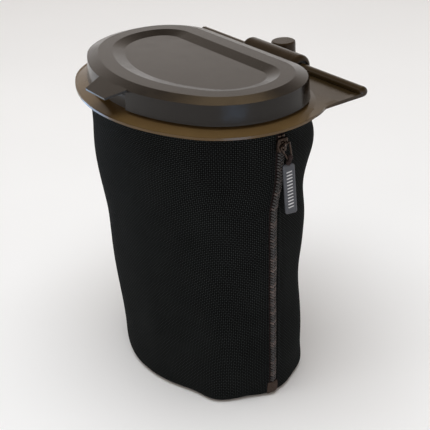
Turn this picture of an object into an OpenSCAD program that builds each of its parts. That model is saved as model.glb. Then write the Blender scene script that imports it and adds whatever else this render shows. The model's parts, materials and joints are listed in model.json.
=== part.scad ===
// Hanging waste bin for a vehicle: D-shaped plastic rim and hinged lid, zipped fabric bag,
// and a hook that clips onto a beaded rail behind the rim.
// Millimetres. +Z up, the rail is at +Y, the lid's lifting tab at -Y.
// The origin is the middle of the bag's base.

/* [Outline] */
// Radius of the two back corners
corner_r = 51; // [46:1:58]
// Radius of the two sides
side_r = 64; // [60:1:70]
// Radius of the bowed front
front_r = 149; // [140:1:158]
// Y of the lid's back edge
back_y = 69.6; // [66:0.1:72]

/* [Lid] */
// Height of the edge between the lid's wall and its chamfer
edge_z = 268; // [240:1:290]
// Height of the lid's wall
skirt_h = 15.7; // [12:0.1:20]
// How far the wall flares out at its foot
skirt_flare = 1.6; // [0:0.1:2]
// Wall thickness of the lid
lid_wall = 2; // [1.6:0.1:2.4]
// Chamfer width
chamfer_w = 9.5; // [6:0.5:12]
// Chamfer height
chamfer_h = 3; // [2:0.1:4]
// Inset of the recess's upper edge
recess_top_in = 21.3; // [18:0.1:24]
// Inset of the recess's floor edge
recess_floor_in = 31.4; // [28:0.1:34]
// Depth of the recess
recess_depth = 2.6; // [1.5:0.1:3]
// Width of the lifting tab at its root
tab_root_w = 42; // [36:1:48]
// Width of the lifting tab at its tip
tab_tip_w = 29; // [24:1:34]
// Length of the lifting tab along its slope
tab_len = 17.6; // [12:0.1:20]
// Slope of the lifting tab below level, in degrees
tab_slope = 14; // [10:1:40]
// Thickness of the lifting tab
tab_t = 1.8; // [1.4:0.1:2.2]

/* [Rim] */
// Flange width beyond the lid outline
flange_w = 12.1; // [9:0.1:14]
// Fall of the flange from collar to lip
flange_drop = 3.4; // [2:0.1:5]
// Thickness of the flange
flange_t = 2.2; // [1.8:0.1:3]
// Gap from the lid outline in to the collar
collar_in = 3.2; // [2.8:0.1:4]
// Thickness of the collar
collar_t = 2; // [1.6:0.1:2.4]
// Half width of the back plate
plate_half = 109.5; // [104:0.5:110]
// Thickness of the back plate
plate_t = 2.2; // [1.8:0.1:3]
// Radius of the hollow corner between flange and back plate
wing_fillet = 8; // [5:1:12]

/* [Rail and clip] */
// Y of the rail's axis
rail_y = 97.7; // [94:0.1:102]
// Height of the rail's axis
rail_z = 249.8; // [248:0.1:251]
// Radius of the rail
rail_r = 4.2; // [3.5:0.1:4.6]
// Half length of the rail's straight part
rail_half = 107; // [100:1:110]
// Length of the clip's sleeve
sleeve_len = 74; // [60:1:90]
// Outer radius of the clip's sleeve
sleeve_r = 10.6; // [10:0.1:12]
// Outer radius of the rubber bush in the sleeve
bush_r = 6.5; // [6:0.1:7]
// Where the middle of the sleeve sits on the rail
sleeve_x = -2.2; // [-20:0.1:20]
// Outer radius of the upright socket
socket_r = 10.5; // [8:0.5:11]
// Distance from rail axis to socket axis
socket_back = 18.6; // [17:0.1:20]
// X of the socket's axis
socket_x = -13.5; // [-20:0.5:0]
// Radius of the hook's pin
pin_r = 5; // [4:0.1:6]
// Gap between the hook's legs
hook_gap = 7; // [6:0.5:12]
// Width of the hook
hook_w = 26; // [20:1:30]

/* [Bag] */
// Height of the bag's top edge
bag_top_z = 246; // [220:1:246]
// How far the base is drawn in from the lid outline
base_in = 8.2; // [6:0.1:12]
// How far the base is shifted forward
base_shift = 3.6; // [0:0.1:5]
// Thickness of the woven side panel
fabric_t = 1.7; // [1.2:0.1:2]
// Thickness of the waterproof lining
lining_t = 0.8; // [0.6:0.1:1]

/* [Zip] */
// Height of the zip's lower end
zip_low_z = 12; // [10:1:20]
// Height of the zip's upper end
zip_high_z = 240; // [225:1:241]
// Y of the zip's lower end
zip_low_y = 6; // [4:0.5:14]
// Y of the zip's upper end
zip_high_y = 14.5; // [8:0.5:18]
// Width of one zip tape that shows
tape_w = 4.8; // [4:0.1:6]
// Width of one row of coil
coil_w = 2.4; // [2:0.1:2.8]
// Length of the rubber tag
tag_len = 41.5; // [30:0.5:44]
// Width of the rubber tag
tag_w = 9.6; // [8:0.1:12]

/* [Hidden] */
$fn = 96;
eps = 0.01;
run_gap = 0.05;                 // radial clearance of every turning or sliding fit

// The outline runs from the straight back through a corner, a side and the front, on tangent
// arcs. They meet where the outline faces these two directions; both are whole-number triangles
// (7, 24, 25 and 336, 527, 625), so every arc's centre is a short decimal.
corner_end = [24, 7] / 25;
side_end = [336, -527] / 625;
corner_turn = atan2(corner_end[0], corner_end[1]);
side_turn = atan2(side_end[0], side_end[1]);
side_c = [(front_r - side_r) * side_end[0],
          back_y - corner_r - (side_r - corner_r) * corner_end[1]];
corner_c = side_c + (side_r - corner_r) * corner_end;
front_c = [0, side_c[1] - (front_r - side_r) * side_end[1]];
back_half = corner_c[0];
front_y = front_c[1] - front_r;

lid_top_z = edge_z + chamfer_h;
skirt_foot_z = edge_z - skirt_h;
collar_top_z = edge_z - 6;
collar_foot_z = 236;
flange_root_z = edge_z - 17.4;
plate_top_z = rail_z - 1.2;
plate_back_y = rail_y - 1;
lip_w = 1.2;
lip_h = 0.6;
border_w = 5;
border_h = 0.6;
border_start = 61.5;
notch_half = 19;                // the skirt is cut away under the tab, for a finger
notch_top_z = edge_z - 3;

// Lid hinge
hinge_y = back_y + 5.9;
hinge_z = edge_z - 10;
hinge_x = 55;
knuckle_r = 3.5;
knuckle_len = 14;
ear_t = 4;
ear_gap = 0.5;
hinge_pin_r = 1.6;
hinge_span = knuckle_len + 2 * (ear_gap + ear_t);

// Bag
bag_out = 1.5;                  // fabric stands this far outside the lid outline at the top
base_round = 2;                 // the panel rolls in by this much over its lowest part
base_round_h = 3;
lining_in = 3;                  // from the fabric's outer face to the lining's outer face
lining_top_z = 230;
lining_floor_z = 4.3;
strip_out = -1.2;
strip_t = 1.75;
strip_h = 7.5;

// Zip: local Z runs up the chain, local X points out of the bag
function bag_drop(z) = (bag_top_z - z) / bag_top_z;
function bag_reach(z, y) =
    let (r = side_r + bag_out - (bag_out + base_in) * bag_drop(z),
         dy = y - side_c[1] + base_shift * bag_drop(z))
    side_c[0] + sqrt(r * r - dy * dy);
zip_low = [bag_reach(zip_low_z, zip_low_y), zip_low_y, zip_low_z];
zip_high = [bag_reach(zip_high_z, zip_high_y), zip_high_y, zip_high_z];
zip_len = norm(zip_high - zip_low);
zip_dir = (zip_high - zip_low) / zip_len;
zip_tilt = [-asin(zip_dir[1]), atan2(zip_dir[0], zip_dir[2]), 0];
chain_half_gap = 0.6;
tape_face = -0.1;
tape_t = 0.8;
coil_t = 1.8;
slit_half = chain_half_gap + tape_w + 0.3;

slider_len = 11;
slider_w = 9.6;
slider_top = 1.9;
slider_t = 1;
slider_z = zip_len - 14;        // lower end of the slider when the zip is closed
bridge_rise = 2.4;
pull_skew = 22;                 // the pull lies over to the rear by this much
pull_off = 1.2;                 // its bar has slid this far to the rear through the bridge
pull_len = 13.5;
pull_w = 10;
pull_t = 1.2;
pull_bar_r = 0.6;

// ---------- outline helpers ----------

// Points of the lid outline moved out by o
function arc_points(c, r, a0, a1, n) =
    [for (i = [0:n]) let (a = a0 + (a1 - a0) * i / n) c + r * [sin(a), cos(a)]];
function half_outline(o) = concat(
    arc_points(corner_c, corner_r + o, 0, corner_turn, 14),
    arc_points(side_c, side_r + o, corner_turn, side_turn, 12),
    arc_points(front_c, front_r + o, side_turn, 180, 7));
function outline(o) = let (h = half_outline(o), n = len(h))
    concat(h, [for (i = [n - 2:-1:0]) [-h[i][0], h[i][1]]]);

// Sweeps the child profile, x outward and y up, once round the lid outline. Each arc is a ring
// cut to its own sector, and neighbouring sectors share their corner points.
function sector(joint_a, joint_b) =
    let (mid = (joint_a[1] + joint_b[1]) / 2)
    [joint_a[0], joint_a[1], mid + 0.5 * (mid - (joint_a[0] + joint_b[0]) / 2),
     joint_b[1], joint_b[0]];
function joint_line(c, direction) = [c + 8 * direction, c + 100 * direction];
back_joint = joint_line(corner_c, [0, 1]);
corner_joint = joint_line(corner_c, corner_end);
side_joint = joint_line(side_c, side_end);

module arc(c, r, sector_points) {
    intersection() {
        translate(c) rotate([0, 0, 90]) rotate_extrude() translate([r, 0]) children();
        linear_extrude(2 * edge_z) polygon(sector_points);
    }
}

module d_sweep() {
    translate([-back_half, back_y, 0])
        rotate([90, 0, 90])
            linear_extrude(2 * back_half) children();
    for (side = [0, 1]) mirror([side, 0, 0]) {
        arc(corner_c, corner_r, sector(back_joint, corner_joint)) children();
        arc(side_c, side_r, sector(corner_joint, side_joint)) children();
    }
    mirrored_joint = [for (p = side_joint) [-p[0], p[1]]];
    arc(front_c, front_r, sector(side_joint, mirrored_joint)) children();
}

// A thin slice of the outline at height z, drawn in by o and shifted forward by f
module slice(o, z, f = 0) {
    translate([0, -f, z]) linear_extrude(eps) polygon(outline(o));
}

// The bag's tapered body between two heights, o inside its outer face
module bag_body(o, z0, z1, roll = 0) {
    function at(z) = bag_out - o - (bag_out + base_in) * bag_drop(z);
    hull() {
        slice(at(z1), z1, base_shift * bag_drop(z1));
        slice(at(z0 + roll * base_round_h), z0 + roll * base_round_h, base_shift * bag_drop(z0));
        slice(at(z0) - roll * base_round, z0, base_shift * bag_drop(z0));
    }
}

module zip_frame() {
    translate(zip_low) rotate(zip_tilt) children();
}

module box_between(low, high) {
    translate(low) cube(high - low);
}

// A cylinder along X
module rod_x(r, x0, x1) {
    translate([x0, 0, 0]) rotate([0, 90, 0]) cylinder(r = r, h = x1 - x0);
}

// ---------- frame ----------

// Side section of the flange, sloping down to its lip
module flange_section() {
    lip_z = flange_root_z - flange_drop;
    polygon([
        [-collar_in, flange_root_z - flange_t],
        [flange_w - 1.4, lip_z - flange_t + 0.2],
        [flange_w, lip_z - flange_t + 0.9],
        [flange_w, lip_z + lip_h],
        [flange_w - lip_w, lip_z + lip_h],
        [flange_w - lip_w - 0.4, lip_z + 0.3],
        [-collar_in, flange_root_z]
    ]);
}

// Side section of the collar: a bead at its foot holds the bag's hem, a ledge carries the flange
module collar_section() {
    inner = -collar_in - collar_t;
    ledge_z = flange_root_z - flange_t;
    polygon([
        [inner, collar_foot_z],
        [-collar_in + 0.9, collar_foot_z],
        [-collar_in + 0.9, collar_foot_z + 1.2],
        [-collar_in, collar_foot_z + 2],
        [-collar_in, ledge_z - 2.2],
        [-collar_in + 1.4, ledge_z - 1],
        [-collar_in + 1.4, ledge_z - 0.3],
        [-collar_in, ledge_z],
        [-collar_in, collar_top_z - 0.5],
        [-collar_in - 0.5, collar_top_z],
        [inner, collar_top_z]
    ]);
}

// Carries the flange's edge round, on a wider curve than the rim's corner, to the back plate's side
module wing_corner() {
    swell = 1.3;
    inside = 0.6;
    from = 78;
    wing_r = side_r + flange_w + swell;
    reach = wing_r + wing_fillet;
    cx = plate_half + wing_fillet;
    c = [cx, side_c[1] + sqrt(reach * reach - (cx - side_c[0]) * (cx - side_c[0]))];
    touch = side_c + (c - side_c) * wing_r / reach;
    last = atan2(touch[0] - side_c[0], touch[1] - side_c[1]);
    steps = 6;
    edge = [
        for (k = [0 : steps - 1])
            let (turn = from + (last - from) * k / steps, left = 1 - k / steps)
            side_c + (wing_r - (swell + inside) * left * left) * [sin(turn), cos(turn)]
    ];
    difference() {
        polygon(concat(edge, [touch, c, [plate_half, c[1]], [plate_half - 10, c[1]]]));
        translate(c) circle(wing_fillet);
    }
}

module plate_shape() {
    translate([-plate_half, back_y - 20]) square([2 * plate_half, plate_back_y - back_y + 20]);
    for (side = [0, 1]) mirror([side, 0]) wing_corner();
}

module back_plate() {
    inside = -collar_in + 2.2;
    difference() {
        union() {
            translate([0, 0, plate_top_z - plate_t]) linear_extrude(plate_t) plate_shape();
            for (x = [-plate_half, plate_half - border_w])
                translate([x, 0, plate_top_z]) rotate([90, 0, 90]) linear_extrude(border_w)
                    polygon([
                        [border_start, -eps],
                        [border_start + 10, border_h],
                        [plate_back_y, border_h],
                        [plate_back_y, -eps]
                    ]);
        }
        translate([0, 0, plate_top_z - 10]) linear_extrude(20) polygon(outline(inside));
    }
}

module rail() {
    translate([0, rail_y, rail_z]) {
        rod_x(rail_r, -rail_half, rail_half);
        for (side = [-1, 1]) translate([side * rail_half, 0, 0]) sphere(rail_r);
    }
}

// Two ears on each side that hold the lid's hinge pins
module hinge_ears() {
    foot = plate_top_z - 1;
    for (side = [-1, 1], end = [-1, 1])
        translate([side * hinge_x + end * (hinge_span - ear_t) / 2, hinge_y, 0]) {
            translate([0, 0, hinge_z]) rod_x(knuckle_r, -ear_t / 2, ear_t / 2);
            box_between([-ear_t / 2, -knuckle_r, foot], [ear_t / 2, knuckle_r, hinge_z]);
        }
}

module rim_frame() {
    color("#3a332c") difference() {
        union() {
            d_sweep() flange_section();
            back_plate();
            rail();
            hinge_ears();
        }
        for (side = [-1, 1])
            translate([side * hinge_x, hinge_y, hinge_z])
                rod_x(hinge_pin_r, -hinge_span, hinge_span);
    }
}

module collar_ring() {
    color("#2f2a25") d_sweep() collar_section();
}

module hinge_pins() {
    color("silver") for (side = [-1, 1])
        translate([side * hinge_x, hinge_y, hinge_z])
            rod_x(hinge_pin_r, -hinge_span / 2, hinge_span / 2);
}

// Ring that traps the rim of a throw-away liner inside the collar
module liner_ring() {
    outer = -collar_in - collar_t - 0.2;
    color("#26241f") d_sweep() polygon([
        [outer - 1.6, collar_top_z - 20],
        [outer, collar_top_z - 20],
        [outer, collar_top_z + 0.2],
        [-collar_in - 0.2, collar_top_z + 0.2],
        [-collar_in - 0.6, collar_top_z + 1.6],
        [outer - 1.6, collar_top_z + 1.6]
    ]);
}

// ---------- lid ----------

module lid_section() {
    under = edge_z - lid_wall;
    polygon([
        [skirt_flare, skirt_foot_z],
        [skirt_flare - 0.5, skirt_foot_z + 2.5],
        [0, edge_z],
        [-chamfer_w, lid_top_z],
        [-recess_top_in, lid_top_z],
        [-recess_floor_in, lid_top_z - recess_depth],
        [-recess_floor_in - 4, lid_top_z - recess_depth],
        [-recess_floor_in - 4, lid_top_z - recess_depth - lid_wall],
        [-recess_floor_in, lid_top_z - recess_depth - lid_wall],
        [-recess_top_in, lid_top_z - lid_wall],
        [-chamfer_w, lid_top_z - lid_wall],
        [-lid_wall, under],
        [skirt_flare - lid_wall, skirt_foot_z]
    ]);
}

module lid_tab() {
    root_y = front_y + 2.2;
    root_z = edge_z + 0.6;
    translate([0, root_y, root_z]) rotate([tab_slope, 0, 0])
        translate([0, 0, -tab_t]) linear_extrude(tab_t)
            polygon([
                [-tab_root_w / 2, 0],
                [-tab_tip_w / 2, -tab_len],
                [tab_tip_w / 2, -tab_len],
                [tab_root_w / 2, 0]
            ]);
}

module lid_knuckles() {
    for (side = [-1, 1]) translate([side * hinge_x, 0, hinge_z]) {
        translate([0, hinge_y, 0]) rod_x(knuckle_r, -knuckle_len / 2, knuckle_len / 2);
        box_between([-knuckle_len / 2, back_y - 1.2, -1.5], [knuckle_len / 2, hinge_y, knuckle_r]);
    }
}

module lid_shell() {
    floor_z = lid_top_z - recess_depth;
    color("#4b443f") difference() {
        union() {
            d_sweep() lid_section();
            translate([0, 0, floor_z - lid_wall])
                linear_extrude(lid_wall) polygon(outline(-recess_floor_in - 2));
            lid_tab();
            lid_knuckles();
        }
        for (side = [-1, 1])
            translate([side * hinge_x, hinge_y, hinge_z])
                rod_x(hinge_pin_r + run_gap, -hinge_span, hinge_span);
        box_between([-notch_half, front_y - 4, skirt_foot_z - 1], [notch_half, front_y + 6, notch_top_z]);
    }
}

// ---------- bag ----------

module bag_wall() {
    color("#141518") difference() {
        bag_body(0, 0, bag_top_z, 1);
        bag_body(fabric_t, -1, bag_top_z + 1, 1);
        zip_frame() box_between([-6, -slit_half, -3], [6, slit_half, zip_len + 3]);
    }
}

module bag_bottom() {
    color("#17181b") slice_plate(-base_in - fabric_t - base_round - 0.4, 0, 1.6);
}

module base_board() {
    color("#2b2b2d") slice_plate(-base_in - fabric_t - 2.4, 2, 2);
}

module slice_plate(o, z, t) {
    translate([0, -base_shift, z]) linear_extrude(t) polygon(outline(o));
}

module bag_lining() {
    color("#303236") difference() {
        bag_body(lining_in, lining_floor_z, lining_top_z);
        bag_body(lining_in + lining_t, lining_floor_z + lining_t, lining_top_z + 1);
    }
}

// Stiff strip sewn into the bag's top edge, which snaps in above the rim's bead
module hem_strip() {
    top = bag_top_z - 0.2;
    color("#1d1d20") d_sweep()
        translate([strip_out - strip_t, top - strip_h]) square([strip_t, strip_h]);
}

// ---------- zip ----------

module tape(side) {
    y0 = side > 0 ? chain_half_gap : -chain_half_gap - tape_w;
    color("#151416") zip_frame()
        translate([tape_face - tape_t, y0, 0]) cube([tape_t, tape_w, zip_len]);
}

module coil(side) {
    y0 = side > 0 ? chain_half_gap : -chain_half_gap - coil_w;
    color("#3b2c26") zip_frame()
        translate([tape_face, y0, 2]) cube([coil_t, coil_w, zip_len - 4.5]);
}

module zip_tape_front() { tape(-1); }

module zip_tape_rear() { tape(1); }

module zip_coil_front() { coil(-1); }

module zip_coil_rear() { coil(1); }

module zip_top_stops() {
    color("#4a3a30") zip_frame() for (side = [-1, 1])
        translate([tape_face, side * (chain_half_gap + coil_w / 2) - coil_w / 2, zip_len - 2.4])
            cube([coil_t, coil_w, 2.2]);
}

module zip_bottom_stop() {
    color("#6b5240") zip_frame()
        translate([tape_face, -chain_half_gap - coil_w, 0])
            cube([coil_t, 2 * (chain_half_gap + coil_w), 1.9]);
}

module zip_slider() {
    color("#4d3c30") zip_frame() translate([0, 0, slider_z]) {
        flange_y = chain_half_gap + coil_w + 0.3;
        plate_low = tape_face - tape_t - 0.2;
        box_between([slider_top, -slider_w / 2, 0], [slider_top + slider_t, slider_w / 2, slider_len]);
        for (side = [0, 1]) mirror([0, side, 0])
            box_between([tape_face + 0.3, flange_y, 0], [slider_top + eps, slider_w / 2, slider_len]);
        box_between([plate_low - 0.9, -slider_w / 2, 0], [plate_low, slider_w / 2, slider_len]);
        box_between([plate_low - eps, -0.4, slider_len - 3], [slider_top + eps, 0.4, slider_len]);
        bridge();
    }
}

// Arch on the slider that carries the pull
module bridge() {
    foot = slider_top + slider_t;
    half = 0.8;
    low = 2.3;
    post = 1.2;
    for (z = [low, slider_len - low - post])
        box_between([foot - eps, -half, z], [foot + bridge_rise, half, z + post]);
    box_between([foot + bridge_rise - eps, -half, low],
                [foot + bridge_rise + 1, half, slider_len - low]);
}

// The pull's bar passes under the bridge; the frame below it turns with the pull
pull_at = [slider_top + slider_t + bridge_rise / 2, 0, slider_z + slider_len / 2];

module pull_frame() {
    zip_frame() translate(pull_at) rotate([pull_skew, 0, 0]) children();
}

module zip_pull() {
    color("#5b4636") pull_frame() translate([0, pull_off, 0]) {
        rotate([90, 0, 0]) translate([0, 0, -pull_w / 2]) cylinder(r = pull_bar_r, h = pull_w);
        rotate([0, 90, 0]) translate([0, 0, -pull_t / 2]) linear_extrude(pull_t) difference() {
            polygon([
                [-1, -pull_w / 2],
                [2, -pull_w / 2],
                [pull_len, -2.6],
                [pull_len, 2.6],
                [2, pull_w / 2],
                [-1, pull_w / 2]
            ]);
            polygon([
                [-2, -pull_w / 2 + 1.4],
                [2.4, -pull_w / 2 + 1.4],
                [pull_len - 2, -1.4],
                [pull_len - 2, 1.4],
                [2.4, pull_w / 2 - 1.4],
                [-2, pull_w / 2 - 1.4]
            ]);
        }
    }
}

// Where the tag hangs, at the foot of the pull
loop_r = 1.6;
loop_t = 0.7;
strap_len = 3.4;
tag_twist = 16;

module ring_at() {
    pull_frame() translate([0, pull_off, -pull_len + 1]) children();
}

// Turned back upright, so that the tag hangs straight down, and twisted a little to the front
module tag_at() {
    ring_at() rotate([-pull_skew, 0, 0]) rotate([-zip_tilt[0], 0, 0])
        rotate([0, -zip_tilt[1], 0]) rotate([0, 0, -tag_twist]) children();
}

module tag_loop() {
    color("#2a2224") {
        ring_at() rotate([90, 0, 0]) translate([0, 0, -1.2]) difference() {
            cylinder(r = loop_r + loop_t, h = 2.4);
            translate([0, 0, -1]) cylinder(r = loop_r, h = 5);
        }
        ring_at() box_between([-0.7, -1.1, -loop_r - 2], [0.7, 1.1, -loop_r - 0.4]);
        tag_at() box_between([-0.7, -1.8, -loop_r - strap_len], [0.7, 1.8, -loop_r - 0.9]);
    }
}

module pull_tag() {
    corner = 2;
    top = -loop_r - strap_len - 0.1;
    color("#5a6068") tag_at() rotate([0, 90, 0]) translate([0, 0, -1.1]) linear_extrude(2.2)
        for (s = [0, 1]) {
            translate([-top, -tag_w / 2 + corner]) square([tag_len, tag_w - 2 * corner]);
            translate([-top + corner, -tag_w / 2]) square([tag_len - 2 * corner, tag_w]);
            for (x = [corner, tag_len - corner], y = [-1, 1])
                translate([-top + x, y * (tag_w / 2 - corner)]) circle(corner);
        }
}

// ---------- clip ----------

// Section through half a tube, rounded at its ends; x is the radius and y runs along it
module tube_half(r_in, r_out, length, round) {
    h = length / 2;
    translate([r_in, -h]) square([r_out - round - r_in, length]);
    translate([r_in, -h + round]) square([r_out - r_in, length - 2 * round]);
    for (end = [-1, 1]) translate([r_out - round, end * (h - round)]) circle(round);
}

module on_rail() {
    translate([sleeve_x, rail_y, rail_z]) children();
}

module grip_bush() {
    bush_len = sleeve_len - 5;
    color("#1b1a19") on_rail() difference() {
        rod_x(bush_r, -bush_len / 2, bush_len / 2);
        rod_x(rail_r + run_gap, -bush_len, bush_len);
        box_between([-bush_len, -2 * bush_r, -4.2], [bush_len, 0, -0.4]);
    }
}

socket_top = 8.5;               // above the rail's axis
socket_foot = -17.8;
bore_top = 3.2;

module clip_sleeve() {
    socket_off = [socket_x - sleeve_x, socket_back, 0];
    color("#2e2822") on_rail() difference() {
        union() {
            rotate([0, 90, 0]) rotate_extrude() tube_half(0, sleeve_r, sleeve_len, 5);
            translate(socket_off + [0, 0, socket_foot]) rotate_extrude() {
                square([socket_r, socket_top - socket_foot - 1.5]);
                square([socket_r - 1.5, socket_top - socket_foot]);
                translate([socket_r - 1.5, socket_top - socket_foot - 1.5]) circle(1.5);
            }
        }
        rod_x(bush_r + run_gap, -sleeve_len, sleeve_len);
        box_between([-sleeve_len, -2 * sleeve_r, -6], [sleeve_len, 0, 1.4]);
        translate(socket_off + [0, 0, socket_foot - 1])
            cylinder(r = pin_r + run_gap, h = bore_top - socket_foot + 1);
    }
}

module on_socket() {
    translate([socket_x, rail_y + socket_back, rail_z]) children();
}

leg_t = 3;
front_leg_y = -1;
rear_leg_y = front_leg_y + leg_t + hook_gap;
hook_top = socket_foot - 3.5;
hook_foot = hook_top - 57;
front_foot = hook_top - 34;

module hanger_hook() {
    color("#2b2723") on_socket() {
        translate([0, 0, socket_foot - 3.6]) cylinder(r = pin_r, h = bore_top - socket_foot + 3.2);
        translate([0, 0, socket_foot - 3.6]) cylinder(r = socket_r - 1, h = 3.2);
        box_between([-hook_w / 2, front_leg_y, hook_top - 4],
                    [hook_w / 2, rear_leg_y + leg_t, hook_top]);
        box_between([-hook_w / 2, front_leg_y, front_foot],
                    [hook_w / 2, front_leg_y + leg_t, hook_top - 4 + eps]);
        box_between([-hook_w / 2, rear_leg_y, hook_foot],
                    [hook_w / 2, rear_leg_y + leg_t, hook_top - 4 + eps]);
    }
}

module grip_pad() {
    color("#3c3c3e") on_socket()
        box_between([-hook_w / 2 + 3, rear_leg_y - 1.2, hook_foot + 4],
                    [hook_w / 2 - 3, rear_leg_y, hook_foot + 34]);
}

rim_frame();
collar_ring();
hinge_pins();
liner_ring();
hem_strip();
bag_wall();
bag_bottom();
base_board();
bag_lining();
zip_tape_front();
zip_tape_rear();
zip_coil_front();
zip_coil_rear();
zip_top_stops();
zip_bottom_stop();
lid_shell();
zip_slider();
zip_pull();
tag_loop();
pull_tag();
grip_bush();
clip_sleeve();
hanger_hook();
grip_pad();
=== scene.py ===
"""A hanging litter bin for a vehicle: moulded rim and lid, woven bag with a coil zip, clip and hook.

The moulded parts are the CAD's own. The soft goods and the zip are built here. Metres, +Z up.
"""

import json
import math

import bpy
import numpy as np
from mathutils import Matrix, Vector


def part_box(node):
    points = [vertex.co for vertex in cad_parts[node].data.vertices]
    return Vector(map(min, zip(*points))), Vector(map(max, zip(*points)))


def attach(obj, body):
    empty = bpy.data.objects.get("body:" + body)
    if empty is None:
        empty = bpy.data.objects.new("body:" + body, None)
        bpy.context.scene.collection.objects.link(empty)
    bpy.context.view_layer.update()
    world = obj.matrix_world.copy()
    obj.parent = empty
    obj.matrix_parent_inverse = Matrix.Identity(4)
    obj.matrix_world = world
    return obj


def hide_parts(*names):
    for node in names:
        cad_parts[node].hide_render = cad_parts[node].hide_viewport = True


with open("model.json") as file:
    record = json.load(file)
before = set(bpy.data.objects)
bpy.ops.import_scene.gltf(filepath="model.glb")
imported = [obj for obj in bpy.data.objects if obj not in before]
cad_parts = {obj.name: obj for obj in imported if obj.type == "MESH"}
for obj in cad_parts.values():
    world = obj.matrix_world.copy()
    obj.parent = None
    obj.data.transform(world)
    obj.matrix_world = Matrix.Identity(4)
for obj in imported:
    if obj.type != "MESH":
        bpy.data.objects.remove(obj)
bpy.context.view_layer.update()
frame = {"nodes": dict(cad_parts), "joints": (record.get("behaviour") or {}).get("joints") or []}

MM = 0.001
NODES = frame["nodes"]
JOINTS = {joint["name"]: joint for joint in frame["joints"]}

# ---------------------------------------------------------------- outline of the rim and bag

CORNER_R = 51 * MM
SIDE_R = 64 * MM
FRONT_R = 149 * MM
CORNER_END = Vector((24, 7)) / 25          # the way the outline faces where the arcs meet
SIDE_END = Vector((336, -527)) / 625

BAG_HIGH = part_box("bag_wall")[1]
BAG_TOP = BAG_HIGH.z
OUT_TOP = 1.5 * MM                          # fabric beyond the lid's outline at the top
BASE_IN = 8.2 * MM                          # and inside it at the base
BASE_SHIFT = 3.6 * MM                       # the base sits this far forward
BACK_Y = BAG_HIGH.y - OUT_TOP
LEFT_SQUEEZE = 0.050                        # the left end of the base is drawn in by this share

SIDE_C = Vector((
    (FRONT_R - SIDE_R) * SIDE_END.x,
    BACK_Y - CORNER_R - (SIDE_R - CORNER_R) * CORNER_END.y,
))
CORNER_C = SIDE_C + (SIDE_R - CORNER_R) * CORNER_END
FRONT_C = Vector((0, SIDE_C.y - (FRONT_R - SIDE_R) * SIDE_END.y))
CORNER_TURN = math.atan2(CORNER_END.x, CORNER_END.y)
SIDE_TURN = math.atan2(SIDE_END.x, SIDE_END.y)

# Lengths along the outline, from the middle of the back over the right side to the front
S_CORNER = CORNER_C.x
S_SIDE = S_CORNER + CORNER_R * CORNER_TURN
S_FRONT = S_SIDE + SIDE_R * (SIDE_TURN - CORNER_TURN)
S_HALF = S_FRONT + FRONT_R * (math.pi - SIDE_TURN)
S_ALL = 2 * S_HALF


def outline(s):
    """Point and outward direction of the lid's outline, s metres along it."""
    s = s % S_ALL
    mirrored = s > S_HALF
    t = S_ALL - s if mirrored else s
    if t < S_CORNER:
        point, normal = Vector((t, BACK_Y)), Vector((0, 1))
    else:
        if t < S_SIDE:
            centre, radius, turn = CORNER_C, CORNER_R, (t - S_CORNER) / CORNER_R
        elif t < S_FRONT:
            centre, radius, turn = SIDE_C, SIDE_R, CORNER_TURN + (t - S_SIDE) / SIDE_R
        else:
            centre, radius, turn = FRONT_C, FRONT_R, SIDE_TURN + (t - S_FRONT) / FRONT_R
        normal = Vector((math.sin(turn), math.cos(turn)))
        point = centre + radius * normal
    if mirrored:
        point.x, normal.x = -point.x, -normal.x
    return point, normal


def smooth(x):
    x = min(1.0, max(0.0, x))
    return x * x * (3 - 2 * x)


def bump(x, middle, half):
    return math.exp(-(((x - middle) / half) ** 2))


# ---------------------------------------------------------------- the bag's shape

S_RIGHT = S_CORNER + 30 * MM                # back right corner
S_LEFT = S_FRONT + 169 * MM                 # where the front turns into the left side
S_ZIP = S_SIDE + 22 * MM

# Hollows and swellings of the fabric: along the outline, height, half length, half height, depth
HOLLOWS = [
    (S_RIGHT, 0.179, 0.040, 0.020, 0.0036),
    (S_RIGHT, 0.096, 0.042, 0.034, 0.0046),
    (S_RIGHT, 0.140, 0.030, 0.016, 0.0008),
    (S_RIGHT, 0.218, 0.034, 0.016, -0.0034),
    (S_CORNER + 0.055, 0.0, 0.020, 0.026, 0.0034),
    (S_CORNER + 0.018, 0.008, 0.020, 0.016, -0.0020),
    (S_FRONT, 0.0, 0.015, 0.028, -0.0044),
    (S_FRONT - 0.034, 0.0, 0.012, 0.018, 0.0022),
    (S_FRONT + 0.078, 0.0, 0.034, 0.022, -0.0018),
    (S_LEFT, 0.180, 0.060, 0.026, -0.0030),
    (S_LEFT, 0.130, 0.050, 0.018, 0.0014),
    (S_LEFT, 0.026, 0.050, 0.032, 0.0026),
    (S_LEFT - 0.085, 0.115, 0.034, 0.060, 0.0010),
    (S_LEFT - 0.110, 0.050, 0.022, 0.030, -0.0010),
    (S_ZIP + 0.030, 0.150, 0.012, 0.070, 0.0013),
    (S_ZIP + 0.052, 0.070, 0.016, 0.040, -0.0012),
    (S_ZIP - 0.022, 0.125, 0.012, 0.070, 0.0012),
    (S_ALL - 0.05, 0.120, 0.050, 0.060, 0.0034),
    (0.035, 0.060, 0.030, 0.040, -0.0016),
    (S_ALL - 0.12, 0.190, 0.030, 0.030, 0.0018),
]
ROLL = 6 * MM                               # radius where the panel turns under the base
HELD = 22 * MM                              # the hem holds the fabric taut this far down
RIPPLE = 0.35 * MM                          # height of the small waves in the fabric


def sag(s, z):
    """How far the fabric stands inside its taut shape."""
    total = 0.0
    for where, height, length, rise, depth in HOLLOWS:
        along = (s - where + S_HALF) % S_ALL - S_HALF
        total += depth * bump(along, 0, length) * bump(z, height, rise)
    held = smooth((BAG_TOP - z) / HELD)
    along_wave = math.sin(s * 74 + 3 * math.sin(z * 31))
    upright_wave = math.sin(z * 47 + 2 * math.sin(s * 23))
    return (total + RIPPLE * along_wave * upright_wave) * held


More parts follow.
